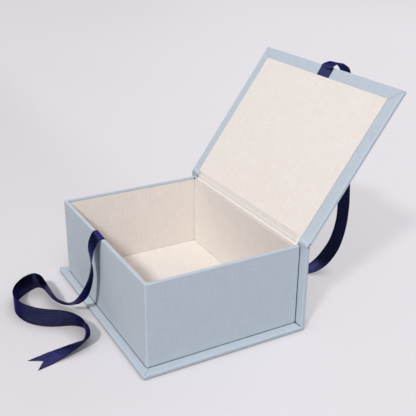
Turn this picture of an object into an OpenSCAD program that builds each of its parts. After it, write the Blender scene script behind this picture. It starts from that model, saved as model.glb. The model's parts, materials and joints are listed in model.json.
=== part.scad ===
// Photo storage box: a cloth-covered tray glued into a hinged case, with two satin ribbon ties.
// X runs along the hinge, the front is at -Y, and the box stands on Z = 0.

/* [Inside] */
// Clear width inside the tray, along the hinge
inside_w = 210; // [150:1:320]
// Clear depth inside the tray, front to back
inside_d = 160; // [110:1:240]
// Clear height from the floor lining to the rim
inside_h = 85; // [50:1:140]

/* [Boards] */
// Thickness of the four tray wall boards
wall_board = 2.5; // [1.5:0.1:4]
// Thickness of the tray's floor board
floor_board = 2; // [1:0.1:4]
// Thickness of the lid, spine and base boards
case_board = 3; // [2:0.1:5]

/* [Coverings] */
// Thickness of the glued book cloth
cloth = 0.5; // [0.3:0.05:0.8]
// Thickness of the lining cards on walls and lid
lining = 0.9; // [0.6:0.05:1.5]
// Thickness of the floor lining
floor_lining_t = 1; // [0.6:0.05:2]
// How far the tray's cloth turns in over the rim and under the floor
tray_turn_in = 15; // [8:0.5:25]
// How far the case cloth turns in over a board's edge
case_turn_in = 17; // [14.5:0.5:30]
// How far below the rim the wall linings end
lining_drop = 2.5; // [1:0.1:6]
// Rounding of the covered corners, seen from above
corner_r = 1.2; // [0.6:0.1:3]
// Rounding of the covered edges
edge_r = 0.7; // [0.3:0.05:1.2]
// Width of the seam where two turn-ins are mitred
mitre_gap = 0.3; // [0.1:0.05:0.8]

/* [Corner stays] */
// Width of each leg of the gummed tape in the tray's corners
stay_leg = 15; // [8:0.5:22]
// Thickness of the gummed tape
stay_t = 0.4; // [0.2:0.05:0.5]

/* [Case] */
// How far base, spine and lid reach past the tray at each side
side_lip = 10.6; // [4:0.1:16]
// How far base and lid reach past the tray at the front
front_lip = 8.1; // [4:0.1:14]
// How far the spine rises above the rim
spine_rise = 1.3; // [0.5:0.1:3]
// Margin between the lid's side edges and its lining
lid_margin = 14; // [8:0.5:17]
// Margin between the lid's front edge and its lining
lid_front_margin = 13.3; // [8:0.1:17]
// Margin between the lid's back edge and its lining
lid_back_margin = 1; // [0.5:0.1:4]

/* [Hinge] */
// Height of the hinge axis above the rim
axis_rise = 2.4; // [1.5:0.1:4]
// Distance of the hinge axis behind the tray's back face
axis_back = 1.1; // [0.5:0.1:3]
// Gap between the hinge axis and the lid's back edge, with the lid shut
lid_setback = 4.2; // [3:0.1:7]
// Gap between the shut lid's lining and the rim
lid_gap = 0.4; // [0.2:0.05:1]
// How far the lid stands open from shut, in degrees
lid_opening = 126; // [60:1:150]
// How far the inner hinge strip laps onto the lid and the back wall
liner_lap = 12; // [6:0.5:20]

/* [Ribbons] */
// Width of the satin ribbon
ribbon_w = 20; // [10:0.5:26]
// Thickness of the ribbon
ribbon_t = 0.35; // [0.25:0.01:0.4]
// Length of the glued ribbon tab behind a lining
ribbon_tab = 32; // [15:1:40]
// Depth of the notch in the swallowtail ends
tail_notch = 11.5; // [4:0.5:18]
// Place of the front tie along X, from the middle
front_tie_x = -5; // [-12:0.5:12]
// Place of the lid's tie along X, from the middle
lid_tie_x = 1; // [-4:0.5:4]

/* [Fits] */
// Clearance between pieces that are laid in beside each other
fit = 0.2; // [0.1:0.05:0.5]
// Depth of the pocket that holds a ribbon's tab
pocket = 0.45; // [0.4:0.01:0.6]

/* [Hidden] */

cloth_blue = [0.70, 0.77, 0.82];
lining_cream = [0.93, 0.90, 0.86];
board_grey = [0.62, 0.60, 0.57];
tape_tan = [0.80, 0.72, 0.58];
ribbon_navy = [0.09, 0.08, 0.24];

// The wall, from outside in: cloth, board, turned-in cloth, lining
wall = cloth + wall_board + cloth + lining;
board_face = cloth + wall_board;
turn_face = board_face + cloth;
tray_w = inside_w + 2 * wall;
tray_d = inside_d + 2 * wall;
front_y = -tray_d / 2;
back_y = tray_d / 2;

// Heights, from the table up
base_t = case_board + 2 * cloth;
tray_z = base_t + cloth;
floor_z = tray_z + floor_board;
inside_z = floor_z + floor_lining_t;
rim_z = inside_z + inside_h;
board_top = rim_z - cloth;
turn_z = rim_z - tray_turn_in;
lining_top = rim_z - lining_drop;
spine_z = base_t + cloth;
spine_top = rim_z + spine_rise;

// The case
case_w = tray_w + 2 * side_lip;
case_front = front_y - front_lip;
spine_in = back_y;
spine_out = back_y + base_t;
base_back = spine_out - cloth;

// The lid is drawn shut and swung open about its axis
lid_face = rim_z + lid_gap + lining;
lid_top = lid_face + base_t;
axis_y = back_y + axis_back;
axis_z = rim_z + axis_rise;
lid_back = axis_y - lid_setback;
lid_lining_w = case_w - 2 * lid_margin;
lid_lining_front = case_front + lid_front_margin;
lid_lining_back = lid_back - lid_back_margin;

// The inner hinge strip lies between the side walls
liner_w = inside_w - 2 * fit;
back_board_in = back_y - board_face;

// How far a cut reaches past the face that it opens, and a length beyond the whole box
over = 1;
far = 2 * (case_w + tray_d + rim_z);
eps = 0.01;

// A point of the shut lid, as [y, z], where the open lid has it
function opened(y, z) = let (dy = y - axis_y, dz = z - axis_z, c = cos(lid_opening), s = sin(lid_opening))
    [axis_y + dy * c + dz * s, axis_z - dy * s + dz * c];

// Unit vector along v
function unit(v) = v / norm(v);

// A strip of thickness t around an open line of [y, z] points, as an outline
function side_step(line, i) = let (
        a = unit(line[min(i + 1, len(line) - 1)] - line[min(i, len(line) - 2)]),
        b = unit(line[max(i, 1)] - line[max(i - 1, 0)]),
        m = unit([-(a[1] + b[1]), a[0] + b[0]])
    ) m / max(0.5, m * [-a[1], a[0]]);
function strip(line, t) = concat(
    [for (i = [0 : len(line) - 1]) line[i] + side_step(line, i) * t / 2],
    [for (i = [len(line) - 1 : -1 : 0]) line[i] - side_step(line, i) * t / 2]);

// Catmull-Rom curve through the rows of a route, at row i and share u of the way to the next
function row(r, i) = r[max(0, min(len(r) - 1, i))];
function curve(r, i, u) = let (a = row(r, i - 1), b = row(r, i), c = row(r, i + 1), d = row(r, i + 2))
    0.5 * (2 * b + (c - a) * u + (2 * a - 5 * b + 4 * c - d) * u * u
        + (3 * b - a - 3 * c + d) * u * u * u);
function smooth(r, steps) = concat(
    [for (i = [0 : len(r) - 2], k = [0 : steps - 1]) curve(r, i, k / steps)], [r[len(r) - 1]]);

// A route's row is [x, y, height of the lowest edge, heading of the width, lean of the width]
function across(p) = [cos(p[4]) * cos(p[3]), cos(p[4]) * sin(p[3]), sin(p[4])];
function middle(p) = [p[0], p[1], p[2] + ribbon_w / 2 * abs(sin(p[4]))];

// The three points across the ribbon at station i: left edge, middle, right edge, on side s of it
function station(line, i, s, back) = let (
        ahead = middle(line[min(i + 1, len(line) - 1)]),
        behind = middle(line[max(i - 1, 0)]),
        t = unit(ahead - behind),
        n = unit(cross(t, across(line[i]))),
        w = cross(n, t),
        rise = ribbon_w / 2 * abs(w[2]) + ribbon_t / 2 * abs(n[2]),
        m = [line[i][0], line[i][1], line[i][2] + rise]
    ) [for (c = [-1, 0, 1]) m + w * c * ribbon_w / 2 + n * s * ribbon_t / 2 - t * (c == 0 ? back : 0)];

// How far the lying ribbon clears the table
lie = 0.1;

/* The route of the front tie: up behind the front lining, over the rim, down with a half twist,
   round a loop standing on its edge, back along the front and round again to a flat tail */
tab_y = front_y + turn_face + ribbon_t * 0.65;
front_route = [
    [front_tie_x, tab_y, lining_top - ribbon_tab, 0, 0],
    [front_tie_x, tab_y, lining_top - 8, 0, 0],
    [front_tie_x, tab_y, lining_top, 0, 0],
    [front_tie_x, front_y + 4.1, rim_z + 0.2, 0, -2],
    [front_tie_x, front_y + 2.4, rim_z + 0.6, 0, -3],
    [front_tie_x, front_y - 1, rim_z + 0.2, 0, -3],
    [front_tie_x, front_y - 3.8, rim_z - 2.7, 2, 3],
    [front_tie_x, front_y - 6.3, rim_z - 8, 2, 9],
    [-4.5, front_y - 8.6, rim_z - 15.5, -4, 14],
    [-4, front_y - 9.4, rim_z - 24.5, -14, 16],
    [-3, front_y - 9.8, 57, -27, 15],
    [-3.5, -95.8, 46, -38, 14],
    [-5.5, -99, 34.5, -48, 14],
    [-9, -102.5, 24.5, -55, 17],
    [-14.5, -106.3, 15.5, -58, 24],
    [-22, -111, 8, -56, 33],
    [-31.5, -116, 3.5, -50, 44],
    [-42, -120, 1, -38, 53],
    [-56, -122.5, 0.5, -30, 64],
    [-71, -123, lie, -25, 68],
    [-83, -123.5, lie, -22, 72],
    [-90, -126, lie, -18, 78],
    [-92, -131, lie, -14, 88],
    [-89.5, -139, lie, -12, 97],
    [-83, -148, lie, -12, 101],
    [-72.5, -157, lie, -12, 101],
    [-59, -163, lie, -10, 100],
    [-44.5, -163, lie, -10, 100],
    [-30.5, -159, lie, -10, 100],
    [-19, -151.5, lie, -10, 99],
    [-10, -141.5, lie, -10, 96],
    [-4, -131.5, lie, -12, 90],
    [1.5, -122.5, lie, -30, 79],
    [8, -116, lie, -45, 71],
    [13.5, -113.4, lie, -52, 68],
    [18.5, -113.2, lie, -55, 70],
    [25, -114.1, lie, -32, 73],
    [32.6, -115.6, lie, 5, 57],
    [38.8, -118.5, lie, 12, 40],
    [40.5, -124, lie, 10, 30],
    [42, -133, lie, 12, 20],
    [44, -145, lie, 14, 10],
    [45.5, -156, lie, 14, 3],
    [47, -163, lie, 13, 0]];
front_end = [49.5, -175.5, lie, 10, 0];

// The lid tie: out from under the lid's lining and over its front edge in a slack loop
lid_tab_z = lid_face - ribbon_t * 0.55;
lid_edge = opened(case_front, lid_face);
tab_start = opened(lid_lining_front + ribbon_tab, lid_tab_z);
tab_mid = opened(lid_lining_front + 8, lid_tab_z);
tab_end = opened(lid_lining_front + 1, lid_tab_z);
tab_out = opened(lid_lining_front - 3.5, lid_tab_z - 0.1);
lift_start = opened(case_front + 5, lid_face - 0.7);
lift_edge = opened(case_front + 1, lid_face - 1.2);
tie_pivot = lid_edge + [16.3, -1.3];
loop_route = [
    [lid_tie_x, tab_start[0], tab_start[1], 0, 0],
    [lid_tie_x, tab_mid[0], tab_mid[1], 0, 0],
    [lid_tie_x, tab_end[0], tab_end[1], 0, 0],
    [lid_tie_x, tab_out[0], tab_out[1], 0, 0],
    [lid_tie_x, lift_start[0], lift_start[1], -1, 0],
    [lid_tie_x, lift_edge[0], lift_edge[1], -3, 1],
    [lid_tie_x, lid_edge[0] + 3, lid_edge[1] + 1.8, -7, 2],
    [1.5, lid_edge[0] + 6, lid_edge[1] + 2.6, -10, 4],
    [2, lid_edge[0] + 9, lid_edge[1] + 2.1, -11, 5],
    [3, lid_edge[0] + 12.7, lid_edge[1] + 0.6, -11, 8],
    [4, tie_pivot[0] - 0.3, tie_pivot[1] - 1.4, -10, 11]];

// The hanging part of the lid tie: down behind the lid and forward along the table
tail_route = [
    [4.3, tie_pivot[0] + 0.4, tie_pivot[1] - 2.5, -9, 11],
    [6, lid_edge[0] + 19.5, lid_edge[1] - 9, -6, 12],
    [10, lid_edge[0] + 22, lid_edge[1] - 27, -4, 11],
    [14, lid_edge[0] + 23, lid_edge[1] - 45, -3, 11],
    [21, lid_edge[0] + 19, lid_edge[1] - 87, -3, 9],
    [29, lid_edge[0] + 13, 110, -1, 7],
    [33, 200, 85, 1, 2],
    [35, 197, 61, -3, -4],
    [34, 190, 35, -4, -11],
    [29, 182, 16, -9, -15],
    [23, 174, 5, -20, -10],
    [17, 166, 1, -30, -3],
    [9, 156, lie, -38, 0],
    [-5, 138, lie, -38, 0],
    [-19, 120, lie, -38, 0]];
tail_end = [-28.5, 108, lie, -38, 0];

// A box from its low to its high corner
module box(low, high) {
    translate(low) cube(high - low);
}

// A flat profile of [y, z] drawn across the box, w wide along X and centred on it
module across_box(w) {
    translate([-w / 2, 0, 0]) rotate([90, 0, 90]) linear_extrude(w) children();
}

// A rectangle with rounded corners, from its low to its high corner
module round_rect(low, high, r) {
    translate(low + [r, 0]) square([high[0] - low[0] - 2 * r, high[1] - low[1]]);
    translate(low + [0, r]) square([high[0] - low[0], high[1] - low[1] - 2 * r]);
    for (x = [low[0] + r, high[0] - r], y = [low[1] + r, high[1] - r])
        translate([x, y]) circle(r, $fn = 32);
}

// A covered board: rounded corners from above and rounded edges, from low to high
module covered(low, high, r_corner, r_edge) {
    intersection() {
        translate([0, 0, low[2]]) linear_extrude(high[2] - low[2])
            round_rect([low[0], low[1]], [high[0], high[1]], r_corner);
        translate([low[0], 0, 0]) rotate([90, 0, 90]) linear_extrude(high[0] - low[0])
            round_rect([low[1], low[2]], [high[1], high[2]], r_edge);
        translate([0, high[1], 0]) rotate([90, 0, 0]) linear_extrude(high[1] - low[1])
            round_rect([low[0], low[2]], [high[0], high[2]], r_edge);
    }
}

// A box centred on X and Y, given by how far its faces lie inside the tray's outer faces
module inset(depth, z0, z1) {
    box([depth - tray_w / 2, depth + front_y, z0], [tray_w / 2 - depth, back_y - depth, z1]);
}

// Moves what is drawn for the shut lid to where the open lid has it
module open_lid() {
    translate([0, axis_y, axis_z]) rotate([-lid_opening, 0, 0]) translate([0, -axis_y, -axis_z]) children();
}

// A mitred seam from a front corner inwards, on both sides, at height z
module mitre_seams(y, z) {
    for (s = [-1, 1])
        translate([s * (case_w / 2), y, z]) rotate([0, 0, s > 0 ? 135 : 45])
            translate([-over, -mitre_gap / 2, 0]) cube([2 * case_turn_in, mitre_gap, cloth]);
}

// A ribbon swept along a route; its end is a swallowtail if end has a row
module ribbon(route, end) {
    line = smooth(route, 2);
    n = len(line);
    whole = len(end) > 0 ? concat(line, [end]) : line;
    m = len(whole);
    points = [for (i = [0 : m - 1], s = [-1, 1])
        each station(whole, i, s, (i == n && m > n) ? tail_notch : 0)];
    sides = [for (i = [0 : m - 2]) let (a = 6 * i, b = a + 6) each [
        [a, b, a + 1], [a + 1, b, b + 1], [a + 1, b + 1, a + 2], [a + 2, b + 1, b + 2],
        [a + 3, a + 4, b + 3], [a + 4, b + 4, b + 3], [a + 4, a + 5, b + 4], [a + 5, b + 5, b + 4],
        [a, a + 3, b], [a + 3, b + 3, b], [a + 2, b + 2, a + 5], [a + 5, b + 2, b + 5]]];
    z = 6 * (m - 1);
    ends = [[0, 1, 3], [1, 4, 3], [1, 2, 4], [2, 5, 4],
        [z, z + 3, z + 1], [z + 1, z + 3, z + 4], [z + 1, z + 4, z + 2], [z + 2, z + 4, z + 5]];
    polyhedron(points = points, faces = concat(sides, ends), convexity = 10);
}

// The base: a board covered below and round three edges, with the cloth turned in on top
module base_board() {
    color(board_grey) box([-case_w / 2 + cloth, case_front + cloth, cloth],
        [case_w / 2 - cloth, base_back, base_t - cloth]);
}

module base_cloth() {
    color(cloth_blue) difference() {
        covered([-case_w / 2, case_front, 0], [case_w / 2, spine_out, base_t], corner_r, edge_r);
        box([-case_w / 2 + cloth, case_front + cloth, cloth],
            [case_w / 2 - cloth, base_back, base_t - cloth]);
        box([-case_w / 2 + case_turn_in, case_front + case_turn_in, base_t - cloth - eps],
            [case_w / 2 - case_turn_in, spine_out + over, base_t + over]);
        mitre_seams(case_front, base_t - cloth / 2);
    }
}

module base_infill() {
    color(tape_tan) {
        box([-case_w / 2 + case_turn_in + fit, case_front + case_turn_in + fit, base_t - cloth],
            [case_w / 2 - case_turn_in - fit, back_y - fit, base_t]);
        inset(tray_turn_in + fit, base_t, tray_z);
    }
}

// The spine: a board glued to the tray's back, standing on the base
module spine_board() {
    color(board_grey) box([-case_w / 2 + cloth, spine_in + cloth, spine_z],
        [case_w / 2 - cloth, spine_out - cloth, spine_top]);
}

module spine_cloth() {
    color(cloth_blue) difference() {
        intersection() {
            covered([-case_w / 2, spine_in, base_t], [case_w / 2, spine_out, spine_top + corner_r + over],
                edge_r, edge_r);
            box([-far, -far, 0], [far, far, spine_top]);
        }
        box([-case_w / 2 + cloth, spine_in + cloth, spine_z],
            [case_w / 2 - cloth, spine_out - cloth, far]);
        box([-case_w / 2 + case_turn_in, spine_in - over, base_t - over],
            [case_w / 2 - case_turn_in, spine_in + cloth + eps, far]);
        box([-liner_w / 2 - fit, spine_in - over, board_top - fit],
            [liner_w / 2 + fit, spine_in + cloth + eps, far]);
    }
}

module spine_infill() {
    color(tape_tan) box([-case_w / 2 + case_turn_in + fit, spine_in, spine_z],
        [case_w / 2 - case_turn_in - fit, spine_in + cloth, board_top]);
}

// The tray's boards: front and back run the whole width, the sides stand between them
module tray_floor_board() {
    color(board_grey) inset(board_face, tray_z, floor_z);
}

module tray_end_board() {
    box([cloth - tray_w / 2, cloth + front_y, tray_z], [tray_w / 2 - cloth, board_face + front_y, board_top]);
}

module tray_front_board() {
    color(board_grey) tray_end_board();
}

module tray_back_board() {
    color(board_grey) mirror([0, 1, 0]) tray_end_board();
}

module tray_side_board() {
    box([tray_w / 2 - board_face, board_face + front_y, tray_z],
        [tray_w / 2 - cloth, back_y - board_face, board_top]);
}

module tray_right_board() {
    color(board_grey) tray_side_board();
}

module tray_left_board() {
    color(board_grey) mirror([1, 0, 0]) tray_side_board();
}

// Gummed tape in an inside corner; sx and sy pick the corner
module corner_stay(sx, sy) {
    x = tray_w / 2 - board_face;
    y = tray_d / 2 - board_face;
    color(tape_tan) mirror([sx < 0 ? 1 : 0, 0, 0]) mirror([0, sy < 0 ? 1 : 0, 0]) difference() {
        box([x - stay_leg, y - stay_leg, inside_z + fit], [x, y, turn_z - fit]);
        box([x - stay_leg - over, y - stay_leg - over, 0], [x - stay_t, y - stay_t, far]);
    }
}

module corner_stay_front_left() {
    corner_stay(-1, -1);
}

module corner_stay_front_right() {
    corner_stay(1, -1);
}

module corner_stay_back_left() {
    corner_stay(-1, 1);
}

module corner_stay_back_right() {
    corner_stay(1, 1);
}

// The tray's cloth: outside, over the rim, down inside and under the floor; the back rim stays bare
module tray_cloth() {
    color(cloth_blue) difference() {
        covered([-tray_w / 2, front_y, base_t], [tray_w / 2, back_y, rim_z], corner_r, cloth);
        difference() {
            inset(cloth, tray_z, board_top);
            inset(board_face, turn_z, far);
        }
        inset(turn_face, tray_z, far);
        inset(board_face, tray_z - eps, turn_z);
        inset(tray_turn_in, base_t - over, tray_z + over);
        box([-inside_w / 2, back_board_in - cloth - eps, turn_z - over],
            [inside_w / 2, back_y - cloth, far]);
        box([-inside_w / 2, back_board_in - over, board_top], [inside_w / 2, back_y + over, far]);
    }
}

// A wall lining: a card, with packing below the turned-in cloth that brings it level
module wall_lining(half, card_y, pack_top) {
    box([-half, card_y - lining, inside_z], [half, card_y, lining_top]);
    pack = half - stay_leg - fit;
    box([-pack, card_y - eps, inside_z], [pack, card_y + cloth, pack_top]);
}

module floor_lining() {
    color(lining_cream) inset(board_face, floor_z, inside_z);
}

module front_lining() {
    half = tray_w / 2 - turn_face;
    color(lining_cream) difference() {
        mirror([0, 1, 0]) wall_lining(half, tray_d / 2 - turn_face, turn_z - fit);
        box([front_tie_x - ribbon_w / 2 - fit, front_y + turn_face - eps, lining_top - ribbon_tab - fit],
            [front_tie_x + ribbon_w / 2 + fit, front_y + turn_face + pocket, lining_top + over]);
    }
}

module back_lining() {
    half = tray_w / 2 - turn_face;
    color(lining_cream) wall_lining(half, tray_d / 2 - turn_face, rim_z - liner_lap - fit);
}

module side_lining() {
    half = inside_d / 2;
    rotate([0, 0, -90]) wall_lining(half, tray_w / 2 - turn_face, turn_z - fit);
}

module right_lining() {
    color(lining_cream) side_lining();
}

module left_lining() {
    color(lining_cream) mirror([1, 0, 0]) side_lining();
}

// Keeps what lies between the spine's top and the open lid's back edge
module in_hinge_gap() {
    intersection() {
        children();
        box([-far, -far, spine_top], [far, far, far]);
        open_lid() box([-far, lid_back, -far], [far, far, far]);
    }
}

// The outer hinge cloth folds into the gap; at each side lip it is folded round and drawn taut inside
module hinge_cloth() {
    outer_low = [spine_out - cloth / 2, spine_top];
    outer_high = opened(lid_back, lid_top - cloth / 2);
    outer_end = opened(lid_back - over, lid_top - cloth / 2);
    inner_low = [spine_in + cloth / 2, spine_top];
    inner_high = opened(lid_back, lid_face + cloth / 2);
    inner_end = opened(lid_back - over, lid_face + cloth / 2);
    taut = unit(inner_high - inner_low);
    crease = (inner_low + inner_high) / 2 + [taut[1], -taut[0]] * (1.5 * cloth + fit / 2);
    outside = [outer_low - [0, over], outer_low, crease, outer_high, outer_end];
    lip = (case_w - inside_w) / 2;
    color(cloth_blue) in_hinge_gap() {
        across_box(case_w) polygon(strip(outside, cloth));
        for (s = [-1, 1]) {
            translate([s * (case_w - lip) / 2, 0, 0]) across_box(lip)
                polygon(strip([inner_low - [0, over], inner_low, inner_high, inner_end], cloth));
            translate([s * (case_w - cloth) / 2, 0, 0]) across_box(cloth)
                polygon(concat([inner_low - [0, over], inner_low, inner_high, inner_end],
                    [outer_end, outer_high, crease, outer_low, outer_low - [0, over]]));
        }
    }
}

/* The inner hinge strip: down the back wall, over its top, up the spine and onto the lid.
   It is a hair thinner than the cloth, so that it lies between its neighbours without cutting them */
module hinge_liner() {
    inside = back_board_in - cloth / 2;
    rise = spine_in + cloth / 2;
    top = board_top + cloth / 2;
    lap_start = opened(lid_back + cloth / 4, lid_face + cloth / 2);
    lap_end = opened(lid_back - liner_lap, lid_face + cloth / 2);
    color(lining_cream) across_box(liner_w)
        polygon(strip([[inside, rim_z - liner_lap], [inside, top], [rise, top],
            [rise, spine_top + cloth / 4], lap_start, lap_end], cloth - eps));
}

// The lid, in its open position
module lid_board() {
    color(board_grey) open_lid() box([-case_w / 2 + cloth, case_front + cloth, lid_face + cloth],
        [case_w / 2 - cloth, lid_back, lid_top - cloth]);
}

module lid_cloth() {
    color(cloth_blue) open_lid() difference() {
        intersection() {
            covered([-case_w / 2, case_front, lid_face], [case_w / 2, lid_back + corner_r + over, lid_top],
                corner_r, edge_r);
            box([-far, -far, 0], [far, lid_back, far]);
        }
        box([-case_w / 2 + cloth, case_front + cloth, lid_face + cloth],
            [case_w / 2 - cloth, lid_back + over, lid_top - cloth]);
        box([-case_w / 2 + case_turn_in, case_front + case_turn_in, lid_face - over],
            [case_w / 2 - case_turn_in, lid_back + over, lid_face + cloth + eps]);
        box([-liner_w / 2 - fit, lid_back - liner_lap - fit, lid_face - over],
            [liner_w / 2 + fit, lid_back + over, lid_face + cloth + eps]);
        mitre_seams(case_front, lid_face - cloth / 2);
    }
}

// The lid's lining: a card over the turned-in cloth, packed level in the middle
module lid_lining() {
    color(lining_cream) open_lid() difference() {
        union() {
            box([-lid_lining_w / 2, lid_lining_front, lid_face - lining],
                [lid_lining_w / 2, lid_lining_back, lid_face]);
            box([-case_w / 2 + case_turn_in + fit, case_front + case_turn_in + fit, lid_face - eps],
                [case_w / 2 - case_turn_in - fit, lid_back - liner_lap - fit, lid_face + cloth]);
        }
        box([lid_tie_x - ribbon_w / 2 - fit, lid_lining_front - over, lid_face - pocket],
            [lid_tie_x + ribbon_w / 2 + fit, lid_lining_front + ribbon_tab + fit, lid_face + eps]);
    }
}

module front_ribbon() {
    color(ribbon_navy) ribbon(front_route, front_end);
}

module lid_ribbon_loop() {
    color(ribbon_navy) ribbon(loop_route, []);
}

module lid_ribbon_tail() {
    color(ribbon_navy) ribbon(tail_route, tail_end);
}

base_board();
base_cloth();
base_infill();
spine_board();
spine_cloth();
spine_infill();
tray_floor_board();
tray_front_board();
tray_back_board();
tray_left_board();
tray_right_board();
corner_stay_front_left();
corner_stay_front_right();
corner_stay_back_left();
corner_stay_back_right();
tray_cloth();
floor_lining();
front_lining();
back_lining();
left_lining();
right_lining();
hinge_cloth();
hinge_liner();
lid_board();
lid_cloth();
lid_lining();
front_ribbon();
lid_ribbon_loop();
lid_ribbon_tail();
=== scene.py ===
"""Dresses the photo storage box: book cloth, linen lining, satin ribbon ties, and a pale studio."""

import functools
import json
import math

import bmesh
import bpy
import numpy as np
from mathutils import Matrix, Vector


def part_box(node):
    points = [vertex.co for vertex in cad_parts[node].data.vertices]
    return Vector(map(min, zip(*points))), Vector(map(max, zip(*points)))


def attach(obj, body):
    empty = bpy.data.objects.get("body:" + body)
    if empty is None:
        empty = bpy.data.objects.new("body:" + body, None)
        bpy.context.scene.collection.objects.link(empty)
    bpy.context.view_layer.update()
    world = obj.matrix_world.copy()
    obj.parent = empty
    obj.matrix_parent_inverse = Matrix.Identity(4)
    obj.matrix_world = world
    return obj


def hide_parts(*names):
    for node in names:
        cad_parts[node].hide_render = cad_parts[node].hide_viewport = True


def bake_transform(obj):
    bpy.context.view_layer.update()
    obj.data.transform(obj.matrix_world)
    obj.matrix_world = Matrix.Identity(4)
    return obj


bl_info = {
    "name": "Photo Storage Box",
    "version": (1, 0, 0),
    "blender": (4, 5, 0),
    "location": "View3D > Sidebar > Photo Box",
    "description": "Covers the hinged photo box in book cloth, linen lining and satin ribbon",
    "category": "Add Mesh",
}

MM = 0.001
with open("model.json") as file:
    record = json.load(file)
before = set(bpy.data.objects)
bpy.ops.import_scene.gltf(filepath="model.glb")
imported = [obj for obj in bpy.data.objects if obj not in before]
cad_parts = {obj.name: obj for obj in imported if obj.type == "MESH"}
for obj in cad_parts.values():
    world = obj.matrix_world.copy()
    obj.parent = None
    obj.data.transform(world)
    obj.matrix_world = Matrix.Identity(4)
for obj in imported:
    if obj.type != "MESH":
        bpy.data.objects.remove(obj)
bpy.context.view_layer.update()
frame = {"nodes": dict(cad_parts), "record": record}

# Places taken from the frame, in metres
TRAY_LOW, TRAY_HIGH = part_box("tray_cloth")
BASE_LOW, BASE_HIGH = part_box("base_cloth")
SPINE_LOW, SPINE_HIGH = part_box("spine_cloth")
FRONT_LINING_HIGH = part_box("front_lining")[1]
LINER_LOW, LINER_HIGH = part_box("hinge_liner")
HINGE = next(j for j in frame["record"]["behaviour"]["joints"] if j["name"] == "lid_hinge")
AXIS = Vector(HINGE["pos_m"])
OPENING = math.radians(HINGE["range_deg"][1])

FRONT_Y = TRAY_LOW.y
RIM_Z = TRAY_HIGH.z
CASE_FRONT = BASE_LOW.y
CASE_WIDTH = BASE_HIGH.x - BASE_LOW.x
LINING_TOP = FRONT_LINING_HIGH.z

# Thicknesses and places that the frame's boxes don't give, in metres; lid places are of the shut lid
CLOTH = 0.5 * MM
WALL_TO_LINING = 3.5 * MM
LID_FACE = 93.8 * MM
LID_THICK = 4 * MM
LID_BACK = 81.3 * MM
LID_LINING_FRONT = -79.2 * MM
INSIDE_WIDTH = 210 * MM

# The hinge: how deep the outer cloth is creased between spine and lid, and the inner strip
CREASE_DEPTH = 0.9 * MM
CREASE_RADIUS = 1.1 * MM
STRIP = CLOTH - 0.01 * MM
STRIP_RADIUS = 0.8 * MM
STRIP_ON_LID = 12 * MM
# Places along the inner strip where lines of painted shade mark its folds
STRIP_FOLD_SHADE = (16.2 * MM, 20 * MM, 23 * MM)

# The ties: their glued tabs, the tabs' gaps to wall and lid, and the height of the tails on the table
RIBBON_TAB = 32 * MM
FRONT_TAB_IN = 0.23 * MM
LID_TAB_IN = 0.19 * MM
FRONT_TIE_X = -5 * MM
LIE = 0.1 * MM
SELVEDGE_PITCH = 0.7 * MM

# Soft lamps: name, azimuth and height in degrees, distance, colour, side of the square and power
LAMPS = (
    ("top", 72, 62, 2.2, (0.97, 0.975, 1.0), 1.1, 10.0),
    ("side", 76, 13, 2.2, (0.95, 0.96, 1.0), 0.8, 8.0),
    ("back", 195, 28, 2.4, (0.97, 0.98, 1.0), 1.4, 9.0),
)
KEY_COLOUR = (1.0, 0.985, 0.955)
CARD_COLOUR = (0.97, 0.98, 1.0)
SKY_LOW = (0.14, 0.14, 0.15)
SKY_HIGH = (0.47, 0.475, 0.50)
LAMPS_LOOK_AT = Vector((0, 0, 0.06))


class BoxCloth(bpy.types.PropertyGroup):
    """The book cloth that covers the outside"""

    colour: bpy.props.FloatVectorProperty(
        name="Colour", description="Colour of the book cloth", subtype="COLOR", size=3,
        min=0.0, max=1.0, default=(0.465, 0.53, 0.605))
    thread: bpy.props.FloatProperty(
        name="Thread pitch", description="Distance between two threads", unit="LENGTH",
        default=0.42 * MM)
    relief: bpy.props.FloatProperty(
        name="Relief", description="Height of the weave", unit="LENGTH", default=0.09 * MM)


class BoxLining(bpy.types.PropertyGroup):
    """The linen lining of tray and lid"""

    colour: bpy.props.FloatVectorProperty(
        name="Colour", description="Colour of the lining", subtype="COLOR", size=3,
        min=0.0, max=1.0, default=(0.77, 0.712, 0.668))
    thread: bpy.props.FloatProperty(
        name="Thread pitch", description="Distance between two threads", unit="LENGTH",
        default=0.55 * MM)
    relief: bpy.props.FloatProperty(
        name="Relief", description="Height of the weave", unit="LENGTH", default=0.07 * MM)


class BoxRibbon(bpy.types.PropertyGroup):
    """The satin ribbon of both ties"""

    colour: bpy.props.FloatVectorProperty(
        name="Colour", description="Colour of the satin", subtype="COLOR", size=3,
        min=0.0, max=1.0, default=(0.037, 0.039, 0.103))
    width: bpy.props.FloatProperty(
        name="Width", description="Width of the ribbon", unit="LENGTH", default=20 * MM)
    thickness: bpy.props.FloatProperty(
        name="Thickness", description="Thickness of the ribbon", unit="LENGTH", default=0.35 * MM)
    notch: bpy.props.FloatProperty(
        name="Notch", description="Depth of the swallowtail notch", unit="LENGTH",
        default=11.5 * MM)


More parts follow.
